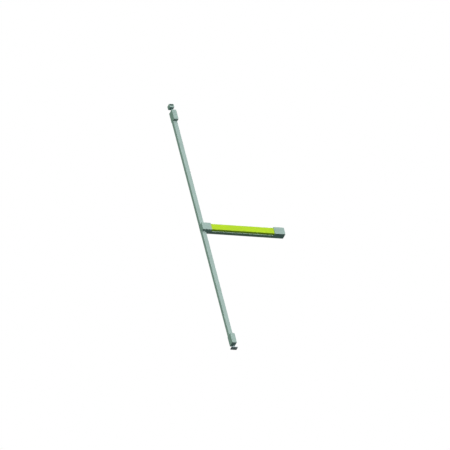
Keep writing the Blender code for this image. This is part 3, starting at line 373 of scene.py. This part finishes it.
ALONG_X, ROUND_Z, EVEN = (0.02, 1, 1), (0.05, 0.05, 1), (1, 1, 1)
finishes = {
    "cover_paint": paint("satin_cover_paint", (173, 191, 188), 0.45),
    "case_paint": paint("satin_case_paint", (168, 188, 184), 0.45),
    "pad_paint": paint("lime_pad_paint", (189, 219, 2), 0.6, 0.3),
    "rail_aluminium": metal("drawn_rail", (164, 186, 172), 0.45, ALONG_X, 0.00003, 0.4),
    "zinc_steel": metal("zinc_plate", (192, 203, 208), 0.38, EVEN, 0.00002),
    "bolt_steel": metal("ground_bolt", (175, 192, 200), 0.28, ROUND_Z, 0.00002),
    "nylon": paint("dark_nylon", (60, 64, 66), 0.55),
}
print("finishes", list(finishes))

# %% [markdown]
# ## A piece in the place of a node
#
# Every new piece is shown instead of one node of the model, moves with that node's body and takes
# its finish. A bmesh is only a shape in memory, so one helper turns it into an object and another
# one puts that object in the node's place. All sizes below are in metres.

# %% Pieces
body_of = {
    node: body for body, nodes in frame["record"]["behaviour"]["bodies"].items() for node in nodes
}
slot_of = {row["node"]: row["material_slot"] for row in frame["record"]["subparts"]}


def add_object(name, bm, finish_slot):
    """Turn a bmesh into an object with one of the finishes."""
    bmesh.ops.recalc_face_normals(bm, faces=bm.faces)
    mesh = bpy.data.meshes.new(name)
    bm.to_mesh(mesh)
    bm.free()
    mesh.materials.append(finishes[finish_slot])
    made = bpy.data.objects.new(name, mesh)
    bpy.context.scene.collection.objects.link(made)
    return made


def stand_in(node, bm):
    """A piece that is shown in a node's place."""
    made = add_object(node + "_fine", bm, slot_of[node])
    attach(made, body_of[node])
    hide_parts(node)
    print(made.name, "starts with", len(made.data.vertices), "vertices")
    return made


# %% [markdown]
# Holes are cut by a Boolean, and every sharp edge is then broken by a narrow bevel. Real sheet
# and castings never have a sharp edge, and the bevel is what catches the light. The weighted
# normals keep the flat faces flat beside it.

# %% Cutting and easing
SHARP, EASE_STEPS = radians(35), 2


def settle(piece):
    """Keep what the modifiers have made as the piece's own mesh."""
    graph = bpy.context.evaluated_depsgraph_get()
    done = bpy.data.meshes.new_from_object(piece.evaluated_get(graph))
    piece.modifiers.clear()
    piece.data = done


def cut(piece, tools):
    """Take closed shapes out of a piece."""
    cutters = [add_object("cutter", tool, "nylon") for tool in tools]
    for cutter in cutters:
        step = piece.modifiers.new("cut", "BOOLEAN")
        step.object, step.solver = cutter, "EXACT"
    settle(piece)
    for cutter in cutters:
        bpy.data.objects.remove(cutter)
    return piece


def ease(piece, width):
    """Break the sharp edges of a piece by a narrow bevel, with flat faces kept flat."""
    piece.data.shade_smooth()
    step = piece.modifiers.new("eased_edges", "BEVEL")
    step.width, step.segments, step.limit_method = width, EASE_STEPS, "ANGLE"
    step.angle_limit, step.harden_normals = SHARP, True
    piece.modifiers.new("flat_faces", "WEIGHTED_NORMAL").keep_sharp = True


# %% [markdown]
# The cutting shapes are boxes and cylinders.

# %% Simple shapes
def block(low, high):
    """A box between two corners."""
    low, high = Vector(low), Vector(high)
    bm = bmesh.new()
    bmesh.ops.create_cube(bm, size=1)
    bmesh.ops.scale(bm, vec=high - low, verts=bm.verts)
    bmesh.ops.translate(bm, vec=(low + high) / 2, verts=bm.verts)
    return bm


def from_z_to(axis):
    """The turn that lays a shape made along Z along another axis."""
    return Vector((0, 0, 1)).rotation_difference(Vector(axis)).to_matrix().to_4x4()


def drum(axis, centre, radius, length, sides=32):
    """A cylinder about a point, along X, Y or Z."""
    bm = bmesh.new()
    bmesh.ops.create_cone(
        bm, cap_ends=True, segments=sides, radius1=radius, radius2=radius, depth=length)
    bmesh.ops.transform(bm, matrix=Matrix.Translation(centre) @ from_z_to(axis), verts=bm.verts)
    return bm


def middle(node):
    """The middle of a node's box."""
    low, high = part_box(node)
    return (low + high) / 2


# %% [markdown]
# ## Caps and latch cases
#
# These are deep pressed boxes that are open towards the door. A Bevel modifier would round the
# edges at the door too, so a cube gets only its front corners rounded, loses the face on the door
# and then gets a wall by Solidify, as a press would draw it from sheet.

# %% Pressed boxes
SHEET, ROUND_STEPS, BOX_EASE, SAME_PLACE = 0.0015, 8, 0.0003, 1e-6


def pressed_box(node, radius, tools):
    """A box of sheet with rounded front corners, open at the door, with shapes cut out of it."""
    low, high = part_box(node)
    bm = block(low, high)
    back = max(bm.faces, key=lambda face: face.normal.y)
    front_edges = [e for e in bm.edges if back not in e.link_faces[:]]
    bmesh.ops.bevel(
        bm, geom=front_edges, offset=radius, offset_type="OFFSET", affect="EDGES",
        segments=ROUND_STEPS, profile=0.5, material=-1)
    at_door = [f for f in bm.faces if all(v.co.y > high.y - SAME_PLACE for v in f.verts)]
    bmesh.ops.delete(bm, geom=at_door, context="FACES_ONLY")
    box = stand_in(node, bm)
    shell = box.modifiers.new("wall", "SOLIDIFY")
    shell.thickness, shell.offset, shell.use_even_offset = SHEET, -1, True
    settle(box)
    ease(cut(box, tools), BOX_EASE)


# %% [markdown]
# The latch cases have a round mouth at each end, for the rod and for the bolt, that runs out to
# the door as a slot, so that the cover can be put on over them. A screw holds each cover through
# its side wall.

# %% Latch cases
FIT, OVER = 0.0003, 0.001
CASE_ROUND, MOUTH_DEPTH, MOUTH_SIDES = 0.0025, 0.003, 48
ROD_CLEARANCE, BOLT_CLEARANCE = 0.0006, 0.0005
SCREW_HOLE, SCREW_HOLE_LENGTH, SCREW_HOLE_SHIFT = 0.0022, 0.012, 0.004


def side_hole(screw):
    """A hole through a box's right wall, round the screw in it."""
    place = middle(screw) - Vector((SCREW_HOLE_SHIFT, 0, 0))
    return drum((1, 0, 0), place, SCREW_HOLE, SCREW_HOLE_LENGTH)


def mouth(node, clearance, low_z, high_z):
    """A slot from the door's face round a rod or a bolt that runs up and down."""
    low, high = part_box(node)
    place, radius = (low + high) / 2, (high.x - low.x) / 2 + clearance
    place.z = (low_z + high_z) / 2
    open_part = block((-radius, place.y, low_z), (radius, OVER, high_z))
    return [drum((0, 0, 1), place, radius, high_z - low_z, MOUTH_SIDES), open_part]


for prefix, rod, bolt, sign in (
    ("top", "upper_rod", "top_bolt", 1), ("bottom", "lower_rod", "bottom_bolt", -1),
):
    cover = prefix + "_case_cover"
    low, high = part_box(cover)
    near, far = (low.z, high.z) if sign > 0 else (high.z, low.z)
    inner = sorted((near - sign * OVER, near + sign * MOUTH_DEPTH))
    outer = sorted((far - sign * MOUTH_DEPTH, far + sign * OVER))
    mouths = mouth(rod, ROD_CLEARANCE, *inner) + mouth(bolt, BOLT_CLEARANCE, *outer)
    pressed_box(cover, CASE_ROUND, mouths + [side_hole(prefix + "_case_screw")])

# %% [markdown]
# The ends of both rod covers sit in notches of the head's cover. The walls of the head's cover
# and of the end cap that face the push bar are open, and the control bar runs out of the head
# there.

# %% Head cover and end cap
CAP_ROUND, BAR_WAY_DEPTH = 0.003, 0.0075
SEAT_DEPTH = SHEET + FIT


def bar_way(start, end, low, high):
    """The opening in the side wall that faces the push bar."""
    rail_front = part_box("chassis_rail")[0].y
    return block((start, rail_front - FIT, low.z + SHEET), (end, OVER, high.z - SHEET))


low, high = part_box("head_cover")
cover_low, cover_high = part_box("upper_rod_cover")
seats = [
    block((cover_low.x - FIT, cover_low.y - FIT, start), (cover_high.x + FIT, OVER, end))
    for start, end in ((low.z - OVER, low.z + SEAT_DEPTH), (high.z - SEAT_DEPTH, high.z + OVER))
]
lug_hole = drum((0, 0, 1), middle("head_cover_screw"), SCREW_HOLE, SCREW_HOLE_LENGTH)
way = bar_way(high.x - BAR_WAY_DEPTH, high.x + OVER, low, high)
pressed_box("head_cover", CAP_ROUND, seats + [way, lug_hole])

low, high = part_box("end_cap")
way = bar_way(low.x - OVER, low.x + BAR_WAY_DEPTH, low, high)
pressed_box("end_cap", CAP_ROUND, [way, side_hole("end_cap_screw")])

# %% [markdown]
# ## Drawn sections
#
# The rod covers, the rail and the pad are the same all along, so each is one outline pulled
# straight, as a die or a folding press makes it. The outline's outer corners are then rounded by
# beveling the long edges.

# %% Drawn sections
DRAWN_EASE = 0.0002


def drawn(outline, axis, start, end, rounds):
    """Pull an outline along X or Z. rounds gives radii for corners, by their number."""
    def place(point, along):
        return (along, *point) if axis == "X" else (*point, along)

    bm = bmesh.new()
    face = bm.faces.new([bm.verts.new(place(point, start)) for point in outline])
    grown = bmesh.ops.extrude_face_region(bm, geom=[face])["geom"]
    moved = [v for v in grown if isinstance(v, bmesh.types.BMVert)]
    pull = Vector(place((0, 0), end)) - Vector(place((0, 0), start))
    bmesh.ops.translate(bm, verts=moved, vec=pull)
    for number, radius in rounds.items():
        ends = [Vector(place(outline[number], along)) for along in (start, end)]
        edge = [
            e for e in bm.edges
            if all(any((v.co - p).length < SAME_PLACE for p in ends) for v in e.verts)
        ]
        bmesh.ops.bevel(
            bm, geom=edge, offset=radius, offset_type="OFFSET", affect="EDGES",
            segments=ROUND_STEPS, profile=0.5, material=-1)
    return bm


# %% [markdown]
# A rod cover is a folded channel with two lips at the door. Only one half of its outline is
# written, and the other half is the same points with x turned round.

# %% Rod covers
COVER_LIP, COVER_ROUND, LIP_ROUND = 0.0126, 0.002, 0.0008


def mirrored_x(points):
    """Points, then their mirror images in x, back to the first one's."""
    return points + [(-x, y) for x, y in reversed(points)]


for node in ("upper_rod_cover", "lower_rod_cover"):
    low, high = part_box(node)
    half = high.x
    outside = mirrored_x([(COVER_LIP, high.y), (half, high.y), (half, low.y)])
    inside = mirrored_x([
        (-COVER_LIP, high.y - SHEET), (SHEET - half, high.y - SHEET), (SHEET - half, low.y + SHEET),
    ])
    corner_rounds = {2: COVER_ROUND, 3: COVER_ROUND, 1: LIP_ROUND, 4: LIP_ROUND}
    cover = stand_in(node, drawn(outside + inside, "Z", low.z, high.z, corner_rounds))
    ease(cover, DRAWN_EASE)

# %% [markdown]
# The rail is an open channel. Its lips turn in over the pad's flanges and hold the pad. Three
# fixing holes go through its back, inside the stretch between the two caps. Of the rail's and
# the pad's outlines only the upper half is written.

# %% Rail
RAIL_WALL, RAIL_LIP_DEPTH, RAIL_LIP, RAIL_ROUND = 0.0022, 0.0025, 0.0253, 0.001
RAIL_HOLE, RAIL_HOLE_LENGTH, RAIL_HOLE_SHARES = 0.0026, 0.01, (0.04, 0.5, 0.96)


def mirrored_z(points):
    """Points, then their mirror images in z, back to the first one's."""
    return points + [(y, -z) for y, z in reversed(points)]


low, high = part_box("chassis_rail")
half, lip_back = high.z, low.y + RAIL_LIP_DEPTH
outline = mirrored_z([
    (-RAIL_WALL, half - RAIL_WALL), (lip_back, half - RAIL_WALL), (lip_back, RAIL_LIP),
    (low.y, RAIL_LIP), (low.y, half), (0, half),
])
bm = drawn(outline, "X", low.x, high.x, {4: RAIL_ROUND, 7: RAIL_ROUND})
rail = stand_in("chassis_rail", bm)
span_start, span_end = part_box("head_cover")[1].x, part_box("end_cap")[0].x
holes = []
for share in RAIL_HOLE_SHARES:
    place = (span_start + share * (span_end - span_start), 0, half / 2)
    holes.append(drum((0, 1, 0), place, RAIL_HOLE, RAIL_HOLE_LENGTH))
ease(cut(rail, holes), DRAWN_EASE)

# %% [markdown]
# The pad is a deep channel with a flange along each edge, behind the rail's lips. Its front
# corners are well rounded, because a hand or a hip pushes there.

# %% Push pad
PAD_WALL, PAD_HALF, PAD_ROUND, PAD_INNER_ROUND = 0.002, 0.025, 0.005, 0.003

low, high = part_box("push_pad")
behind = high.y
flange = behind - PAD_WALL
outline = mirrored_z([
    (low.y + PAD_WALL, PAD_HALF - PAD_WALL), (behind, PAD_HALF - PAD_WALL), (behind, high.z),
    (flange, high.z), (flange, PAD_HALF), (low.y, PAD_HALF),
])
corner_rounds = {5: PAD_ROUND, 6: PAD_ROUND, 0: PAD_INNER_ROUND, 11: PAD_INNER_ROUND}
ease(stand_in("push_pad", drawn(outline, "X", low.x, high.x, corner_rounds)), DRAWN_EASE)

# %% [markdown]
# ## Bolts
#
# A bolt is turned on a lathe, and its chamfered tip finds the hole. A bevelled cylinder would do,
# but a half section spun round the axis gives every step of the tip in one go, which all other
# turned pieces need too.

# %% Bolts
FOOT_CHAMFER, TIP_CHAMFER, TIP_EASE_ALONG, TIP_EASE_IN = 0.0005, 0.0018, 0.0005, 0.0002
BOLT_STEPS, LATHE_MERGE = 64, 1e-7


def lathe(section, steps=48):
    """Spin a half section of (radius, height) points round Z into one closed surface."""
    bm = bmesh.new()
    verts = [bm.verts.new((r, 0, h)) for r, h in section]
    edges = [bm.edges.new(pair) for pair in zip(verts, verts[1:])]
    bmesh.ops.spin(
        bm, geom=verts + edges, cent=(0, 0, 0), axis=(0, 0, 1), angle=2 * pi, steps=steps,
        use_merge=True)
    bmesh.ops.remove_doubles(bm, verts=bm.verts, dist=LATHE_MERGE)
    return bm


for node, sign in (("top_bolt", 1), ("bottom_bolt", -1)):
    low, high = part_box(node)
    radius, length = (high.x - low.x) / 2, high.z - low.z
    section = [
        (0, 0), (radius - FOOT_CHAMFER, 0), (radius, FOOT_CHAMFER),
        (radius, length - TIP_CHAMFER),
        (radius - TIP_EASE_IN, length - TIP_CHAMFER + TIP_EASE_ALONG),
        (radius - TIP_CHAMFER + TIP_EASE_ALONG, length - TIP_EASE_IN),
        (radius - TIP_CHAMFER, length), (0, length),
    ]
    bm = lathe(section, BOLT_STEPS)
    foot = (0, (low.y + high.y) / 2, low.z if sign > 0 else high.z)
    turn = Matrix.Translation(foot) @ Matrix.Diagonal((1, 1, sign, 1))
    bmesh.ops.transform(bm, matrix=turn, verts=bm.verts)
    stand_in(node, bm).data.shade_smooth()

# %% [markdown]
# ## Rods
#
# A rod is threaded at both ends, so that the lock can be set to the door's height. Rings would
# look like a thread from afar, but a real one climbs: a small V is spun with a rise at each step,
# as a die cuts it, and sits a little sunk in the rod.

# %% Coil and thread
def coil(bm, ring, legs, steps=24):
    """Wind a closed ring of edges up round Z. legs are pairs of turns and rise per turn."""
    last = ring
    for turns, rise in legs:
        count = max(1, round(steps * turns))
        geom = bmesh.ops.spin(
            bm, geom=last, cent=(0, 0, 0), axis=(0, 0, 1), angle=2 * pi * turns, steps=count,
            dvec=(0, 0, rise * turns / count))["geom_last"]
        last = [e for e in geom if isinstance(e, (bmesh.types.BMEdge, bmesh.types.BMVert))]
    for loop in (ring, last):
        bm.faces.new([v for v in loop if isinstance(v, bmesh.types.BMVert)])


def thread(core, crest, half, sink, legs, start, steps=24):
    """A V ridge that climbs round Z from a height. half is half its width at the core."""
    ridge = bmesh.new()
    points = [(core - sink, 0, -half), (crest, 0, 0), (core - sink, 0, half)]
    verts = [ridge.verts.new(point) for point in points]
    ring = verts + [ridge.edges.new((verts[i - 1], verts[i])) for i in range(3)]
    coil(ridge, ring, legs, steps)
    bmesh.ops.translate(ridge, verts=ridge.verts, vec=(0, 0, start))
    bmesh.ops.recalc_face_normals(ridge, faces=ridge.faces)
    return ridge


def merge(target, extra):
    """Add one bmesh's shape to another."""
    loose = bpy.data.meshes.new("loose")
    extra.to_mesh(loose)
    extra.free()
    target.from_mesh(loose)
    bpy.data.meshes.remove(loose)


# %% [markdown]
# Each end of a rod is the same list of points, counted from that end: a small chamfer, the
# thread's core and the shoulder up to the full rod.

# %% Rods
ROD_RADIUS, THREAD_DEPTH, THREAD_LENGTH, THREAD_PITCH = 0.004, 0.0007, 0.016, 0.00125
THREAD_HALF, THREAD_SINK, PLAIN_END = 0.00055, 0.0002, 0.001
ROD_END_IN, ROD_END_ALONG, ROD_SHARP = 0.0004, 0.0005, radians(30)

core = ROD_RADIUS - THREAD_DEPTH
rod_end = [
    (0, 0), (core - ROD_END_IN, 0), (core, ROD_END_ALONG), (core, THREAD_LENGTH),
    (ROD_RADIUS, THREAD_LENGTH + THREAD_DEPTH),
]
rod_legs = [((THREAD_LENGTH - PLAIN_END) / THREAD_PITCH, THREAD_PITCH)]
for node in ("upper_rod", "lower_rod"):
    low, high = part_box(node)
    lower = [(r, low.z + h) for r, h in rod_end]
    upper = [(r, high.z - h) for r, h in reversed(rod_end)]
    bm = lathe(lower + upper)
    for start in (low.z + PLAIN_END, high.z - THREAD_LENGTH):
        merge(bm, thread(core, ROD_RADIUS, THREAD_HALF, THREAD_SINK, rod_legs, start))
    bmesh.ops.translate(bm, verts=bm.verts, vec=(0, (low.y + high.y) / 2, 0))
    rod = stand_in(node, bm)
    rod.data.shade_smooth()
    rod.data.set_sharp_from_angle(angle=ROD_SHARP)

# %% [markdown]
# ## Springs
#
# The springs are wound from a circle of wire: a closed turn lies flat at each end, and the turns
# between them climb. A Screw modifier can't change its rise on the way, so the coil is spun in
# three legs. A joint shortens each spring.

# %% Springs
WIRE, WIRE_SIDES, CLOSED_RISE = 0.0013, 12, 1.1


def spring(node, axis, travel, turns=6):
    """A spring in a node's place, wound along an axis; travel is how far a joint presses it."""
    low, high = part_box(node)
    along = Vector(axis)
    length = abs((high - low).dot(along))
    width = high.x - low.x
    bm = bmesh.new()
    circle = bmesh.ops.create_circle(bm, segments=WIRE_SIDES, radius=WIRE / 2)["verts"]
    turn = Matrix.Translation(((width - WIRE) / 2, 0, WIRE / 2)) @ Matrix.Rotation(pi / 2, 4, "X")
    bmesh.ops.transform(bm, matrix=turn, verts=circle)
    closed = (1, CLOSED_RISE * WIRE)
    rise = (length - (2 * CLOSED_RISE + 1) * WIRE) / (turns - 2)
    coil(bm, circle + bm.edges[:], [closed, (turns - 2, rise), closed])
    foot = (low + high) / 2 + along * (-length / 2)
    bmesh.ops.transform(bm, matrix=Matrix.Translation(foot) @ from_z_to(along), verts=bm.verts)
    piece = stand_in(node, bm)
    piece.data.shade_smooth()
    1 - travel / length
    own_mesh(piece)
    print(node, "keeps", round(1 - travel / length, 3), "of its length")


joints = {joint["name"]: joint for joint in frame["joints"]}
pad_travel = joints["pad_press"]["range_m"][1]
rod_travel = joints["upper_rod_slide"]["range_m"][1]
spring("pad_spring_left", (0, -1, 0), pad_travel, turns=7)
spring("pad_spring_right", (0, -1, 0), pad_travel, turns=7)
spring("top_bolt_spring", (0, 0, 1), rod_travel)
spring("bottom_bolt_spring", (0, 0, -1), rod_travel)

# %% [markdown]
# ## Cover screws
#
# A pan head is a low dome with a hexagon socket. It is turned like the bolts, and the socket is
# cut with a six-sided drum. The shank gets the same kind of thread as the rods. The thread is
# added after the cut, because a Boolean needs a piece that doesn't pass through itself.

# %% Screws
HEAD_RADIUS, DOME_HEIGHT, SOCKET_RADIUS, SOCKET_LENGTH = 0.0034, 0.002, 0.0013, 0.0026
SHANK_RADIUS, SHANK_LENGTH, SCREW_CORE = 0.0019, 0.008, 0.0016
SCREW_TIP_SHARE, SCREW_TIP_LENGTH, SCREW_NECK, HEAD_EDGE = 0.6, 0.001, 0.0004, 0.0001
SCREW_PITCH, SCREW_TURNS, SCREW_START = 0.0007, 8, 0.0015
SCREW_HALF, SCREW_SINK, SCREW_STEPS, HEAD_STEPS = 0.0003, 0.0001, 18, 36
SOCKET_SIDES, SCREW_SHARP = 6, radians(40)
# The head's outline from its rim to its top, as shares of its radius and heights in metres.
DOME = (
    (1, 0.0002), (1, 0.0006), (0.96, 0.001), (0.86, 0.0014), (0.7, 0.00175), (0.5, 0.00195),
    (0.35, DOME_HEIGHT),
)


def cover_screw(node, direction):
    """A screw in a node's place, with its head on the side of the direction."""
    low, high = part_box(node)
    tip_z = -SHANK_LENGTH
    shank = [
        (0, tip_z), (SCREW_CORE * SCREW_TIP_SHARE, tip_z), (SCREW_CORE, tip_z + SCREW_TIP_LENGTH),
        (SCREW_CORE, -SCREW_NECK), (SHANK_RADIUS, 0), (HEAD_RADIUS - HEAD_EDGE, 0),
    ]
    dome = [(HEAD_RADIUS * share, height) for share, height in DOME]
    bm = lathe(shank + dome + [(0, DOME_HEIGHT)], HEAD_STEPS)
    ridge = thread(
        SCREW_CORE, SHANK_RADIUS, SCREW_HALF, SCREW_SINK, [(SCREW_TURNS, SCREW_PITCH)],
        tip_z + SCREW_START, SCREW_STEPS)
    socket = drum((0, 0, 1), (0, 0, DOME_HEIGHT), SOCKET_RADIUS, SOCKET_LENGTH, SOCKET_SIDES)
    along = Vector(direction)
    tip = (low + high) / 2 - along * abs((high - low).dot(along)) / 2
    stand = Matrix.Translation(tip + along * SHANK_LENGTH) @ from_z_to(along)
    for shape in (bm, ridge, socket):
        bmesh.ops.transform(shape, matrix=stand, verts=shape.verts)
    screw = cut(stand_in(node, bm), [socket])
    body = bmesh.new()
    body.from_mesh(screw.data)
    merge(body, ridge)
    body.to_mesh(screw.data)
    body.free()
    screw.data.shade_smooth()
    screw.data.set_sharp_from_angle(angle=SCREW_SHARP)


for node, direction in (
    ("head_cover_screw", (0, 0, 1)), ("end_cap_screw", (1, 0, 0)), ("top_case_screw", (1, 0, 0)),
    ("bottom_case_screw", (1, 0, 0)), ("keeper_screw_left", (0, -1, 0)),
    ("keeper_screw_right", (0, -1, 0)),
):
    cover_screw(node, direction)

# %% [markdown]
# ## Everything else keeps its shape and loses its sharp edges
#
# Brackets, cranks, racks, gear and guides are already right in the model. A copy of each is
# merged, its flat faces are joined up again and its edges are broken by a narrow bevel, which is
# what catches the light on a real punched or milled piece.

# %% Eased copies
MERGE_DISTANCE, FLAT, COPY_EASE = 2e-6, radians(1), 0.00015

for name, node in frame["nodes"].items():
    if node.hide_render:
        continue
    bm = bmesh.new()
    bm.from_mesh(node.data)
    bmesh.ops.remove_doubles(bm, verts=bm.verts, dist=MERGE_DISTANCE)
    bmesh.ops.dissolve_limit(bm, angle_limit=FLAT, verts=bm.verts, edges=bm.edges)
    ease(stand_in(name, bm), COPY_EASE)
